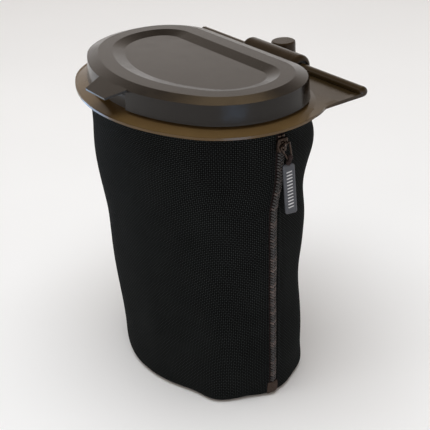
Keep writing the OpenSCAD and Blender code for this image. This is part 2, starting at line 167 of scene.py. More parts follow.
def bag_point(s, z, under=0.0):
    """Point on the fabric's outer face, or under metres inside it."""
    drop = (BAG_TOP - z) / BAG_TOP
    out = OUT_TOP - (OUT_TOP + BASE_IN) * drop - sag(s, z)
    point, normal = outline(s)
    if z < ROLL:
        out -= ROLL * (1 - math.sqrt(max(0.0, 1 - (1 - z / ROLL) ** 2)))
    point = point + normal * (out - under)
    point.y -= BASE_SHIFT * drop
    if point.x < 0:
        point.x *= 1 - LEFT_SQUEEZE * drop
    return Vector((point.x, point.y, z))


# ---------------------------------------------------------------- the zip's line

ZIP_AXIS = -Vector(JOINTS["zip_travel"]["axis"])
STOP_LOW, STOP_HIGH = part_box("zip_bottom_stop")
TAPE_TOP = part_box("zip_tape_rear")[1].z
ZIP_FOOT = (STOP_LOW + STOP_HIGH) / 2
BOW = 4.2 * MM                              # the chain hangs this far off its straight line
BOW_TOP = 0.208                             # heights where the bow starts, is full, fades and ends
BOW_FULL = 0.172
BOW_FADES = 0.152
BOW_ENDS = 0.027


def zip_s(z):
    """Place along the outline of the chain's middle at a height."""
    line_y = ZIP_FOOT.y + ZIP_AXIS.y / ZIP_AXIS.z * (z - ZIP_FOOT.z)
    drop = (BAG_TOP - z) / BAG_TOP
    reach = SIDE_R + OUT_TOP - (OUT_TOP + BASE_IN) * drop
    turn = math.acos((line_y - SIDE_C.y + BASE_SHIFT * drop) / reach)
    painted_shade = min(1, max(0, (z - BOW_ENDS) / (BOW_FADES - BOW_ENDS)))
    bow = BOW * smooth((BOW_TOP - z) / (BOW_TOP - BOW_FULL)) * painted_shade
    return S_SIDE + SIDE_R * (turn - CORNER_TURN) + bow


def zip_frame(z):
    """Origin, across (to the rear), out and up at a height on the chain's middle."""
    s, step = zip_s(z), 0.4 * MM
    here = bag_point(s, z)
    above = bag_point(zip_s(z + step), z + step)
    rear = bag_point(s - step, z)
    up = (above - here).normalized()
    across = (rear - here).normalized()
    out = across.cross(up).normalized()
    return here, across, out, up


def zip_point(z, across, out, rise=0.0):
    """A point off the chain's middle: across along the panel, out from it and rise up the chain."""
    _, _, outward, up = zip_frame(z)
    edge = bag_point(zip_s(z) - across, z)
    return edge + outward * out + up * rise


# ---------------------------------------------------------------- mesh helpers


def new_object(name, vertices, faces, material, uvs=None, smooth_faces=True):
    mesh = bpy.data.meshes.new(name)
    mesh.from_pydata([tuple(v) for v in vertices], [], faces)
    mesh.validate()
    if uvs is not None:
        layer = mesh.uv_layers.new(name="weave")
        for loop in mesh.loops:
            layer.data[loop.index].uv = uvs[loop.vertex_index]
    for face in mesh.polygons:
        face.use_smooth = smooth_faces
    piece = bpy.data.objects.new(name, mesh)
    bpy.context.scene.collection.objects.link(piece)
    if material is not None:
        piece.data.materials.append(material)
    return piece


def grid(rows, closed=False):
    """Vertices and faces of a grid given as rows of points."""
    width = len(rows[0])
    vertices = [p for row in rows for p in row]
    faces = []
    for i in range(len(rows) - 1):
        for j in range(width if closed else width - 1):
            k = (j + 1) % width
            faces.append((i * width + j, i * width + k, (i + 1) * width + k, (i + 1) * width + j))
    return vertices, faces


def add_modifier(piece, kind, **settings):
    modifier = piece.modifiers.new(kind.lower(), kind)
    for key, value in settings.items():
        setattr(modifier, key, value)
    return modifier


def thicken(piece, thickness, offset=-1.0):
    return add_modifier(piece, "SOLIDIFY", thickness=thickness, offset=offset, use_even_offset=True)


def tube(path, radius_a, radius_b, side, sides=10, closed=False, caps=True):
    """Rings along a path; side(i) gives the direction of radius_a there."""
    count = len(path)
    rows = []
    for i, point in enumerate(path):
        before = path[i - 1] if i or closed else path[0]
        after = path[(i + 1) % count] if i < count - 1 or closed else path[-1]
        along = (after - before).normalized()
        a = side(i)
        a = (a - along * a.dot(along)).normalized()
        b = along.cross(a)
        rows.append([
            point + a * (radius_a * math.cos(t)) + b * (radius_b * math.sin(t))
            for t in (2 * math.pi * k / sides for k in range(sides))
        ])
    if closed:
        rows.append(rows[0])
    vertices, faces = grid(rows, closed=True)
    if closed:
        vertices = vertices[:-sides]
        total = len(vertices)
        faces = [tuple(v % total for v in face) for face in faces]
    elif caps:
        faces.append(tuple(range(sides))[::-1])
        faces.append(tuple(range(len(vertices) - sides, len(vertices))))
    return vertices, faces


def joined(parts):
    """One list of vertices and faces from several."""
    vertices, faces = [], []
    for part_vertices, part_faces in parts:
        start = len(vertices)
        vertices += part_vertices
        faces += [tuple(v + start for v in face) for face in part_faces]
    return vertices, faces


def capsule(start, end, radius, sides=7):
    """A short rod with rounded ends."""
    along = (end - start).normalized()
    side = along.orthogonal().normalized()
    ends = ((-0.9, 0.45), (-0.5, 0.87), (0.0, 1.0))
    rings = [(start + along * radius * shift, radius * scale) for shift, scale in ends]
    rings += [(end - along * radius * shift, radius * scale) for shift, scale in reversed(ends)]
    rows = []
    for centre, size in rings:
        rows.append([
            centre + (side * math.cos(t) + along.cross(side) * math.sin(t)) * size
            for t in (2 * math.pi * k / sides for k in range(sides))
        ])
    vertices, faces = grid(rows, closed=True)
    faces.append(tuple(range(sides))[::-1])
    faces.append(tuple(range(len(vertices) - sides, len(vertices))))
    return vertices, faces


def prism(points, depth, place):
    """A flat outline pushed from depth[0] to depth[1] along local X; place maps local to the frame."""
    count = len(points)
    vertices = [place @ Vector((x, p[0], p[1])) for x in depth for p in points]
    faces = [tuple(range(count))[::-1], tuple(range(count, 2 * count))]
    faces += [(k, (k + 1) % count, count + (k + 1) % count, count + k) for k in range(count)]
    return vertices, faces


def rounded(corners, radius, steps=5):
    """The corners of a convex outline, each replaced by an arc."""
    points = []
    count = len(corners)
    for i in range(count):
        here = Vector(corners[i])
        to_last = (Vector(corners[i - 1]) - here).normalized()
        to_next = (Vector(corners[(i + 1) % count]) - here).normalized()
        half = to_last.angle(to_next) / 2
        centre = here + (to_last + to_next).normalized() * (radius / math.sin(half))
        start = here + to_last * (radius / math.tan(half)) - centre
        end = here + to_next * (radius / math.tan(half)) - centre
        sweep = start.angle_signed(end)
        for k in range(steps + 1):
            t = -sweep * k / steps
            turned = Vector((
                start.x * math.cos(t) - start.y * math.sin(t),
                start.x * math.sin(t) + start.y * math.cos(t),
            ))
            points.append(tuple(centre + turned))
    return points


def stitches(name, path, normal_at, material, length=2.3 * MM, gap=0.9 * MM, radius=0.22 * MM):
    """Thread lying in short runs along a path."""
    total = [0.0]
    for a, b in zip(path, path[1:]):
        total.append(total[-1] + (b - a).length)

    def at(distance):
        i = int(np.searchsorted(total, distance)) - 1
        i = max(0, min(len(path) - 2, i))
        share = (distance - total[i]) / max(1e-9, total[i + 1] - total[i])
        return path[i].lerp(path[i + 1], share), normal_at(i)

    parts = []
    position = gap
    while position + length < total[-1]:
        a, n = at(position)
        b, _ = at(position + length)
        middle, _ = at(position + length / 2)
        lift = n * radius * 0.55
        parts.append(tube([a - lift * 1.2, a + lift, middle + lift * 1.6, b + lift, b - lift * 1.2],
                          radius, radius, lambda i: n, sides=6))
        position += length + gap
    vertices, faces = joined(parts)
    return new_object(name, vertices, faces, material)


# ---------------------------------------------------------------- materials


class Shader:
    """A node material under construction."""

    def __init__(self, name, **sockets):
        self.material = bpy.data.materials.new(name)
        self.material.use_nodes = True
        self.tree = self.material.node_tree
        self.surface = self.tree.nodes["Principled BSDF"]
        for key, value in sockets.items():
            self.surface.inputs[key.replace("_", " ")].default_value = value

    def add(self, kind, inputs=None, **settings):
        node = self.tree.nodes.new("ShaderNode" + kind)
        for key, value in settings.items():
            setattr(node, key, value)
        for key, value in (inputs or {}).items():
            self.put(node.inputs[key], value)
        return node

    def put(self, socket, value):
        if isinstance(value, bpy.types.NodeSocket):
            self.tree.links.new(value, socket)
        else:
            socket.default_value = value

    def math(self, operation, a, b=0.0, c=0.0):
        node = self.add("Math", operation=operation)
        for socket, value in zip(node.inputs, (a, b, c)):
            self.put(socket, value)
        return node.outputs[0]

    def noise(self, scale, detail=3.0, roughness=0.55, at=None, stretch=None):
        where = at or self.add("TexCoord").outputs["Object"]
        if stretch:
            where = self.add("Mapping", {"Vector": where, "Scale": stretch}).outputs[0]
        node = self.add("TexNoise", {"Vector": where, "Scale": scale, "Detail": detail,
                                     "Roughness": roughness})
        return node.outputs["Fac"]

    def ramp(self, value, stops):
        node = self.add("ValToRGB", {"Fac": value})
        elements = node.color_ramp.elements
        while len(elements) < len(stops):
            elements.new(0.5)
        for element, (position, colour) in zip(elements, stops):
            element.position = position
            element.color = (*colour, 1)
        return node.outputs[0]

    def scaled(self, value, low, high):
        node = self.add("MapRange", {"Value": value, "From Min": 0.3, "From Max": 0.7, "To Min": low,
                                     "To Max": high})
        return node.outputs[0]

    def bump(self, height, distance, strength=1.0, normal=None):
        node = self.add("Bump", {"Height": height, "Distance": distance, "Strength": strength})
        if normal is not None:
            self.put(node.inputs["Normal"], normal)
        return node.outputs[0]

    def finish(self, colour=None, roughness=None, normal=None):
        for key, value in (("Base Color", colour), ("Roughness", roughness), ("Normal", normal)):
            if value is not None:
                self.put(self.surface.inputs[key], value)
        return self.material


def plastic(name, dark, light, roughness, grain=0.03 * MM, specular=0.5, painted_shade=None):
    """Moulded plastic with a fine spark-eroded grain, slight flow marks and a little dust.

    painted_shade is the Y where its colour is darkest, a painted shade over the part beyond it, and the
    share of its brightness left there.
    """
    shader = Shader(name, Specular_IOR_Level=specular)
    flow = shader.noise(9, 3, stretch=(1, 1, 2.5))
    mottled = shader.noise(70, 4)
    dust = shader.math("GREATER_THAN", shader.noise(1500, 1), 0.77)
    tone = shader.math("ADD", shader.math("MULTIPLY", flow, 0.55), shader.math("MULTIPLY", mottled, 0.45))
    tone = shader.math("MULTIPLY_ADD", dust, 0.25, tone)
    colour = shader.ramp(tone, [(0.3, dark), (0.72, light), (1.0, tuple(c * 2.6 + 0.01 for c in light))])
    # Painted shade: the colour darkens over the 5 cm before that Y and stays dark beyond it
    if painted_shade:
        place = shader.add("SeparateXYZ", {"Vector": shader.add("TexCoord").outputs["Object"]})
        share = shader.add("MapRange", {"Value": place.outputs[1], "From Min": painted_shade[0] - 0.05,
                                        "From Max": painted_shade[0], "To Min": 1.0, "To Max": painted_shade[1]})
        scale = shader.add("VectorMath", operation="SCALE")
        shader.put(scale.inputs[0], colour)
        shader.put(scale.inputs["Scale"], share.outputs[0])
        colour = scale.outputs[0]
    rough = shader.scaled(mottled, roughness - 0.04, roughness + 0.05)
    rough = shader.math("MULTIPLY_ADD", dust, 0.1, rough)
    fine = shader.bump(shader.noise(2600, 2), grain, 0.2)
    wavy = shader.bump(flow, 1.2 * MM, 0.06, fine)
    return shader.finish(colour, rough, wavy)


def threads(shader, u, v):
    """Height of a plain weave over thread counts u and v, and which thread is on top."""
    across_u = shader.math("ABSOLUTE", shader.math("SUBTRACT", shader.math("FRACT", u), 0.5))
    across_v = shader.math("ABSOLUTE", shader.math("SUBTRACT", shader.math("FRACT", v), 0.5))
    cells = shader.math("ADD", shader.math("FLOOR", u), shader.math("FLOOR", v))
    over = shader.math("MULTIPLY", shader.math("FRACT", shader.math("MULTIPLY", cells, 0.5)), 2.0)

    def thread(width, run):
        curve = shader.math("MULTIPLY", width, 3.4)
        crown = shader.math("SUBTRACT", 1.0, shader.math("MULTIPLY", width, curve))
        arch = shader.math("COSINE", shader.math("MULTIPLY", run, 2.6))
        return shader.math("MULTIPLY", crown, arch)

    warp = thread(across_u, across_v)
    weft = thread(across_v, across_u)
    node = shader.add("Mix", data_type="FLOAT")
    shader.put(node.inputs[0], over)
    shader.put(node.inputs[2], warp)
    shader.put(node.inputs[3], weft)
    return node.outputs[0], over


def woven(name, pitch, dark, light, depth, roughness=0.75, uv=True, sheen=0.0):
    """Plain-woven cloth. Its threads follow the piece's own UVs, or X and Y where it has none."""
    shader = Shader(name, Specular_IOR_Level=0.03)
    if uv:
        where = shader.add("UVMap", uv_map="weave").outputs[0]
    else:
        where = shader.add("TexCoord").outputs["Object"]
    drift = shader.noise(14, 2, at=where)
    split = shader.add("SeparateXYZ", {"Vector": where})
    u = shader.math("MULTIPLY_ADD", drift, 0.9, shader.math("DIVIDE", split.outputs[0], pitch))
    v = shader.math("MULTIPLY_ADD", drift, 0.9, shader.math("DIVIDE", split.outputs[1], pitch))
    height, over = threads(shader, u, v)
    fuzz = shader.noise(2400, 3)
    worn = shader.noise(26, 4)
    # Thread crowns are painted lighter and the hollows between threads darker: painted highlights and
    # painted shade on the weave
    tone = shader.math("MULTIPLY", shader.math("MAXIMUM", height, 0.0), 0.62)
    tone = shader.math("MULTIPLY_ADD", over, 0.09, tone)
    tone = shader.math("MULTIPLY_ADD", fuzz, 0.26, tone)
    tone = shader.math("MULTIPLY_ADD", worn, 0.12, tone)
    middle = tuple((a + b) / 9 for a, b in zip(dark, light))
    colour = shader.ramp(tone, [(0.30, dark), (0.64, middle), (0.95, light)])
    rough = shader.scaled(fuzz, roughness - 0.12, roughness + 0.1)
    surface = shader.math("MULTIPLY_ADD", fuzz, 0.25, height)
    if sheen:
        shader.surface.inputs["Sheen Weight"].default_value = sheen
        shader.surface.inputs["Sheen Roughness"].default_value = 0.5
    return shader.finish(colour, rough, shader.bump(surface, depth, 0.9))


def ribbed(name, pitch, dark, light, depth, roughness=0.8):
    """Narrow tape: fine ribs across it, in UV lengths."""
    shader = Shader(name, Specular_IOR_Level=0.1)
    where = shader.add("UVMap", uv_map="weave").outputs[0]
    split = shader.add("SeparateXYZ", {"Vector": where})
    u = shader.math("DIVIDE", split.outputs[0], pitch)
    v = shader.math("DIVIDE", split.outputs[1], pitch * 1.7)
    slant = shader.math("SUBTRACT", shader.math("PINGPONG", u, 1.0), 0.5)
    rib = shader.math("SINE", shader.math("MULTIPLY", shader.math("ADD", v, slant), 2 * math.pi))
    fuzz = shader.noise(2800, 3)
    tone = shader.math("MULTIPLY_ADD", rib, 0.22, shader.math("MULTIPLY", fuzz, 0.9))
    colour = shader.ramp(tone, [(0.25, dark), (0.8, light)])
    height = shader.math("MULTIPLY_ADD", fuzz, 0.4, rib)
    return shader.finish(colour, shader.scaled(fuzz, roughness - 0.1, roughness + 0.1),
                         shader.bump(height, depth, 0.8))


def painted_metal(name, paint, bare):
    """Bronze lacquer that has rubbed thin in places."""
    shader = Shader(name, Metallic=0.85, Specular_IOR_Level=0.5)
    worn = shader.noise(420, 5, 0.65)
    colour = shader.ramp(worn, [(0.45, paint), (0.62, tuple(c * 2.2 for c in paint)), (0.74, bare)])
    rough = shader.scaled(worn, 0.28, 0.16)
    return shader.finish(colour, rough, shader.bump(shader.noise(900, 3), 0.05 * MM, 0.5))


def nylon(name, dark, light, roughness=0.32):
    """Glossy monofilament whose shade changes from tooth to tooth: teeth picked at random are painted light
    as painted highlights.
    """
    shader = Shader(name, Specular_IOR_Level=0.6)
    island = shader.add("NewGeometry").outputs["Random Per Island"]
    # Painted highlights: a random share of the teeth gets the light colour
    tone = shader.math("MULTIPLY_ADD", island, 0.75, shader.math("MULTIPLY", shader.noise(900, 2), 0.35))
    colour = shader.ramp(tone, [(0.15, dark), (0.62, tuple((a + b) / 7 for a, b in zip(dark, light))),
                                (1.0, light)])
    rough = shader.scaled(shader.noise(700, 2), roughness - 0.06, roughness + 0.08)
    return shader.finish(colour, rough, shader.bump(shader.noise(1800, 2), 0.04 * MM, 0.4))


def rubber(name, dark, light, roughness=0.5):
    shader = Shader(name, Specular_IOR_Level=0.4)
    bloom = shader.noise(160, 4)
    colour = shader.ramp(bloom, [(0.3, dark), (0.7, light)])
    rough = shader.scaled(bloom, roughness - 0.06, roughness + 0.08)
    return shader.finish(colour, rough, shader.bump(shader.noise(1900, 3), 0.06 * MM, 0.4))


def brushed_steel(name):
    shader = Shader(name, Metallic=1.0)
    lines = shader.noise(220, 3, stretch=(0.4, 14, 14))
    colour = shader.ramp(lines, [(0.3, (0.42, 0.41, 0.40)), (0.7, (0.62, 0.61, 0.60))])
    return shader.finish(colour, shader.scaled(lines, 0.22, 0.36), shader.bump(lines, 0.03 * MM, 0.3))


LID = plastic("lid_moulding", (0.0065, 0.0048, 0.0036), (0.0100, 0.0076, 0.0058), 0.20, specular=0.37)
# The rim's back plate, beyond Y 75 mm, keeps 0.28 of its brightness: painted shade
RIM = plastic("rim_moulding", (0.080, 0.0480, 0.0185), (0.100, 0.0620, 0.0250), 0.20, specular=0.30,
              painted_shade=(0.075, 0.28))
RIM_INSIDE = plastic("collar_moulding", (0.018, 0.0145, 0.0115), (0.027, 0.0225, 0.018), 0.42)
CLIP = plastic("clip_moulding", (0.018, 0.0110, 0.0055), (0.028, 0.0175, 0.0090), 0.24, specular=0.14)
CLOTH = woven("bag_cloth", 1.6 * MM, (0.0004, 0.0005, 0.0005), (0.046, 0.052, 0.052), 0.6 * MM, 0.85)
BASE_CLOTH = woven("base_cloth", 1.6 * MM, (0.0004, 0.0005, 0.0005), (0.042, 0.047, 0.047), 0.5 * MM,
                   0.85, uv=False)
LINING = woven("lining_cloth", 0.9 * MM, (0.016, 0.017, 0.019), (0.090, 0.094, 0.10), 0.12 * MM,
               roughness=0.42)
TAPE = ribbed("zip_tape_cloth", 0.6 * MM, (0.006, 0.0035, 0.0038), (0.040, 0.026, 0.026), 0.14 * MM)
WEBBING = ribbed("loop_webbing_cloth", 0.7 * MM, (0.010, 0.006, 0.0065), (0.075, 0.052, 0.050), 0.2 * MM)
TAPE_END = ribbed("tape_end_cloth", 0.7 * MM, (0.030, 0.021, 0.017), (0.13, 0.095, 0.078), 0.2 * MM)
COIL = nylon("coil_nylon", (0.0034, 0.0018, 0.0016), (0.095, 0.066, 0.056), 0.26)
METAL = painted_metal("bronze_paint", (0.030, 0.020, 0.015), (0.55, 0.49, 0.43))
TAG = rubber("tag_rubber", (0.052, 0.056, 0.066), (0.074, 0.079, 0.092), 0.42)
TAG_RIB = rubber("tag_rib_rubber", (0.50, 0.51, 0.53), (0.68, 0.69, 0.71), 0.5)
BUSH = rubber("bush_rubber", (0.012, 0.012, 0.012), (0.022, 0.021, 0.020), 0.6)
STEEL = brushed_steel("ground_steel")
THREAD = ribbed("black_thread", 0.3 * MM, (0.006, 0.006, 0.007), (0.030, 0.031, 0.034), 0.03 * MM)
BOARD = plastic("board_sheet", (0.020, 0.020, 0.021), (0.034, 0.034, 0.035), 0.5)
STRIP = plastic("strip_extrusion", (0.014, 0.014, 0.015), (0.024, 0.024, 0.025), 0.45)


def paint(node, material):
    mesh = NODES[node].data
    mesh.materials.clear()
    mesh.materials.append(material)


for node, material in {
    "rim_frame": RIM, "collar_ring": RIM_INSIDE, "liner_ring": RIM_INSIDE, "hem_strip": STRIP,
    "base_board": BOARD, "lid_shell": LID, "hinge_pins": STEEL, "grip_bush": BUSH,
    "clip_sleeve": CLIP, "hanger_hook": CLIP, "grip_pad": BUSH,
}.items():
    paint(node, material)

# Moulded edges are slightly rounded
for node, radius in {"lid_shell": 0.5, "rim_frame": 0.4, "hanger_hook": 0.6, "clip_sleeve": 0.35,
                     "collar_ring": 0.3}.items():
    sharpest = 40 if node == "rim_frame" else 14
    add_modifier(NODES[node], "WELD", merge_threshold=0.002 * MM)
    add_modifier(NODES[node], "BEVEL", width=radius * MM, segments=3, limit_method="ANGLE",
                 angle_limit=math.radians(sharpest), harden_normals=False, miter_outer="MITER_ARC",
                 use_clamp_overlap=True)
    add_modifier(NODES[node], "WEIGHTED_NORMAL", keep_sharp=True)

# ---------------------------------------------------------------- bag

EDGE = 4.4 * MM                             # from the chain's middle to the folded edge of the panel
FOLD = [                                    # the folded edge in mm: along the panel, below its face
    (-0.2, 1.05), (-0.45, 0.72), (-0.5, 0.40), (-0.25, 0.10), (0.25, -0.12), (0.9, -0.22),
    (1.7, -0.20), (2.6, -0.05), (3.6, 0.0),
]
FOLD_WIDTH = 3.6 * MM
FOLD_LIFT = 0.8 * MM                        # the fold's foot stays this far above the panel's
PANEL_FOOT = 0.6 * MM
SPINE_SHARE = 0.45                          # length of the line that a floor's rings close on
COLUMN_STEP = 2.3 * MM
ROW_STEP = 2.6 * MM


def panel_columns():
    """Distances along the panel from the chain, and how far each column lies below the face."""
    first = [(EDGE + a * MM, b * MM) for a, b in FOLD]
    last = [(S_ALL - c, d) for c, d in reversed(first)]
    start, end = first[-1][0], last[0][0]
    steps = round((end - start) / COLUMN_STEP)
    middle = [(start + (end - start) * k / steps, 0.0) for k in range(1, steps)]
    return first + middle + last


def panel_heights():
    """Heights of the panel's rows, and how far each lies inside the face where it turns under."""
    heights = [(PANEL_FOOT, 4.5 * MM), (PANEL_FOOT, 2 * MM), (PANEL_FOOT, 0)]
    turns = [math.pi / 2 * k / 6 for k in range(1, 7)]
    heights += [(ROLL * (1 - math.cos(t)) + PANEL_FOOT * math.cos(t), 0) for t in turns]
    count = round((BAG_TOP - ROLL) / ROW_STEP)
    top = BAG_TOP - 0.4 * MM
    heights += [(ROLL + (top - ROLL) * k / count, 0) for k in range(1, count + 1)]
    return heights


def build_panel():
    """The side panel, from one folded edge at the zip round the bag to the other."""
    columns, heights = panel_columns(), panel_heights()
    rows, uvs = [], []
    for z, under in heights:
        start = zip_s(max(z, 8 * MM))
        row = []
        for c, below in columns:
            s = start + c
            # The folded edges stop a little short of the floor
            near_zip = max(0.0, 1 - (min(c, S_ALL - c) - EDGE) / FOLD_WIDTH)
            lift = FOLD_LIFT * min(1.0, near_zip) * max(0.0, 1 - z / ROLL)
            p = bag_point(s, z + lift, under)
            _, normal = outline(s)
            p -= Vector((normal.x, normal.y, 0)) * below
            row.append(p)
            uvs.append((c, z - under))
        rows.append(row)
    vertices, faces = grid(rows)
    faces = [face[::-1] for face in faces]
    piece = new_object("bag_panel", vertices, faces, CLOTH, uvs)
    thicken(piece, 0.8 * MM)
    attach(piece, "frame")
    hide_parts("bag_wall")
    return piece


def floor_grid(rows):
    """A closed grid whose last ring is shut by a strip of faces from side to side."""
    vertices, faces = grid(rows, closed=True)
    count = len(rows[-1])
    last = len(vertices) - count
    for k in range(count // 2 - 1):
        faces.append((last + k, last + k + 1, last + count - 2 - k, last + count - 1 - k))
    return vertices, faces


def build_base():
    """The base panel: rings of the outline drawn in to a line, slightly rippled inside its seam."""
    rings = [1.0, 0.985, 0.96, 0.92, 0.86, 0.78, 0.68, 0.56, 0.42, 0.26, 0.1]
    count = 180
    dome_rise, ripple_rise = 1.6 * MM, 0.25 * MM
    edge = [bag_point(S_ALL * k / count, PANEL_FOOT, 3.2 * MM) for k in range(count)]
    middle = sum(edge, Vector()) / count
    rows = []
    for share in rings:
        row = []
        for k, p in enumerate(edge):
            spine = Vector((p.x * SPINE_SHARE, middle.y, PANEL_FOOT))
            q = spine.lerp(p, share)
            dome = dome_rise * smooth((1 - share) / 0.5)
            wave = math.sin(9 * q.x / 0.1 + 2 * math.sin(q.y * 60))
            q.z = 0.9 * MM + dome + ripple_rise * wave * smooth((1 - share) / 0.2)
            row.append(q)
        rows.append(row)
    vertices, faces = floor_grid(rows)
    piece = new_object("bag_base", vertices, faces, BASE_CLOTH)
    thicken(piece, 0.7 * MM, offset=1.0)
    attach(piece, "frame")
    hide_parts("bag_bottom")
    return piece


PANEL = build_panel()
BASE = build_base()


def build_lining():
    """Coated lining, open at the top, with loose folds and a flat floor."""
    low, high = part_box("bag_lining")
    inside = 3.2 * MM
    count = 240
    rows = []

    def ring(z, more=0.0, share=1.0):
        row = []
        for k in range(count):
            s = S_ALL * k / count
            p = bag_point(s, z, inside + more)
            _, normal = outline(s)
            loose = 0.5 * MM * math.sin(s * 95 + 4 * z / 0.1) * smooth((high.z - z) / 0.05)
            p -= Vector((normal.x, normal.y, 0)) * abs(loose)
            if share < 1:
                spine = Vector((p.x * SPINE_SHARE, -BASE_SHIFT, z))
                p = spine.lerp(p, share)
            row.append(p)
        return row

    floor = low.z + 0.4 * MM
    curve_rise, curve_in = 7 * MM, 4 * MM
    steps = 46
    for k in range(steps + 1):
        rows.append(ring(high.z - (high.z - floor - curve_rise) * k / steps))
    for t in (0.35, 0.75, 1.0):
        rows.append(ring(floor + curve_rise * (1 - t), curve_in * t * t))
    for share in (0.85, 0.6, 0.35, 0.1):
        rows.append(ring(floor, curve_in, share))
    vertices, faces = floor_grid(rows)
    uvs = [(S_ALL * (i % count) / count, p.z) for i, p in enumerate(vertices)]
    piece = new_object("lining_cloth", vertices, faces, LINING, uvs)
    thicken(piece, 0.5 * MM)
    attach(piece, "frame")
    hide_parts("bag_lining")
    return piece


LINING_PIECE = build_lining()

# ---------------------------------------------------------------- zip


def build_tape(side, node):
    """One tape, from under the coil to under the panel's fold."""
    across = [0.35, 1.4, 2.6, 3.6, 4.6, 5.8, 7.0, 9.6, 12.4]
    depth = [-0.55, -0.55, -0.6, -0.75, -1.05, -1.25, -1.35, -1.4, -1.45]
    bottom, top = 3.5 * MM, TAPE_TOP + 3 * MM
    steps = 120
    rows, uvs = [], []
    for k in range(steps + 1):
        z = bottom + (top - bottom) * k / steps
        rows.append([zip_point(z, side * a * MM, d * MM) for a, d in zip(across, depth)])
        uvs += [(a * MM, z) for a in across]
    vertices, faces = grid(rows)
    if side > 0:
        faces = [face[::-1] for face in faces]
    piece = new_object(node + "_cloth", vertices, faces, TAPE, uvs)
    thicken(piece, 0.5 * MM)
    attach(piece, "frame")
    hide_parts(node)
    return piece


TOOTH_PITCH = 2.5 * MM
TOOTH = [                                   # one tooth in mm: across, out, up
    (-0.35, 0.5, -0.3), (0.3, 0.95, 0.0), (1.3, 1.0, 0.8), (2.3, 0.78, 1.6), (2.9, 0.2, 2.0),
]
CLAMP = [                                   # a top clamp in mm: across, out
    (0.5, -0.5), (0.55, 0.7), (1.1, 1.25), (2.2, 1.25), (2.8, 0.7), (2.85, -0.5),
]
COIL_BOTTOM = ZIP_FOOT.z + 2 * MM
COIL_TOP = TAPE_TOP - 3.2 * MM


def build_coil(side, node):
    """A row of teeth: each is a bent run of nylon that starts just past the chain's middle."""
    parts = []
    count = int((COIL_TOP - COIL_BOTTOM) / TOOTH_PITCH)
    offset = 0.5 if side > 0 else 0.0
    for k in range(count):
        z = COIL_BOTTOM + (k + offset) * TOOTH_PITCH
        path = [zip_point(z, side * a * MM, o * MM, r * MM) for a, o, r in TOOTH]
        up = zip_frame(z)[3]
        parts.append(tube(path, 0.85 * MM, 0.55 * MM, lambda i: up, sides=8))
    vertices, faces = joined(parts)
    piece = new_object(node + "_teeth", vertices, faces, COIL)
    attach(piece, "frame")
    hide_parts(node)
    return piece


for side, tape_node, coil_node in ((-1, "zip_tape_front", "zip_coil_front"),
                                   (1, "zip_tape_rear", "zip_coil_rear")):
    build_tape(side, tape_node)
    build_coil(side, coil_node)


def build_stops():
    """Two clamps at the top of the zip and the tape's rolled end at its foot."""
    parts = []
    for side in (-1, 1):
        z = TAPE_TOP - 1.8 * MM
        path = [zip_point(z, side * a * MM, o * MM) for a, o in CLAMP]
        up = zip_frame(z)[3]
        parts.append(tube(path, 1.0 * MM, 0.4 * MM, lambda i: up, sides=10))
    vertices, faces = joined(parts)
    top = new_object("zip_top_clamps", vertices, faces, METAL)
    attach(top, "frame")
    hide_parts("zip_top_stops")

    rows, uvs = [], []
    width, steps, columns = 6.2, 16, 12
    for k in range(steps + 1):
        t = k / steps
        z = (13.5 - 12.2 * t) * MM
        swell = math.sin(math.pi * min(1, max(0, t))) ** 0.5
        row = []
        for j in range(columns + 1):
            a = -width + 2 * width * j / columns
            shoulder = math.sqrt(max(0.0, 1 - (a / width) ** 4))
            across = a * (0.92 + 0.08 * swell)
            out = -0.5 + 2.3 * shoulder * (0.45 + 0.55 * swell)
            row.append(zip_point(z, across * MM, out * MM))
            uvs.append((a * MM, t * 14 * MM))
        rows.append(row)
    vertices, faces = grid(rows)
    faces = [face[::-1] for face in faces]
    foot = new_object("zip_end_fold", vertices, faces, TAPE_END, uvs)
    thicken(foot, 0.7 * MM)
    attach(foot, "frame")
    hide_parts("zip_bottom_stop")


build_stops()

# ---------------------------------------------------------------- slider, pull and tag


def place_from(origin, across, out, up):
    """Matrix whose X points out, Y to the rear and Z up the chain."""
    place = Matrix.Identity(4)
    for column, axis in enumerate((out, across, up)):
        for row in range(3):
            place[row][column] = axis[row]
    place.translation = origin
    return place


TRAVEL_UP = ZIP_AXIS.normalized()
PULL_AT = Vector(JOINTS["pull_hinge"]["pos_m"])
PULL_AXIS = -Vector(JOINTS["pull_hinge"]["axis"])
TAG_AT = Vector(JOINTS["tag_hinge"]["pos_m"])
ZIP_OUT = Vector((TRAVEL_UP.z, 0, -TRAVEL_UP.x)).normalized()
ZIP_REAR = TRAVEL_UP.cross(ZIP_OUT).normalized()
SLIDER_LEN = 11 * MM
PULL_RISE = 4.1 * MM                        # the pull's axis above the bag's face
SLIDER_FOOT = PULL_AT - ZIP_OUT * PULL_RISE - TRAVEL_UP * SLIDER_LEN / 2
SLIDER = place_from(SLIDER_FOOT, ZIP_REAR, ZIP_OUT, TRAVEL_UP)
# The slider's parts in mm: across and up for its plates, out and up for its bridge
FRONT_PLATE = [(-3.7, 0), (3.7, 0), (4.8, 7.5), (4.3, 11), (-4.3, 11), (-4.8, 7.5)]
BACK_PLATE = [(-3.0, 0), (3.0, 0), (3.3, 7.5), (3.1, 11), (-3.1, 11), (-3.3, 7.5)]
SKIRT = [(-4.75, 0.4), (-3.6, 0.4), (-3.6, 10.4), (-4.75, 8.2)]
DIVIDER = [(-0.4, 8), (0.4, 8), (0.9, 10.8), (-0.9, 10.8)]
BRIDGE = [
    (2.7, 2.3), (4.4, 2.45), (5.4, 3.1), (5.75, 4.4), (5.75, 6.6), (5.4, 7.9), (4.4, 8.55), (2.7, 8.7),
]


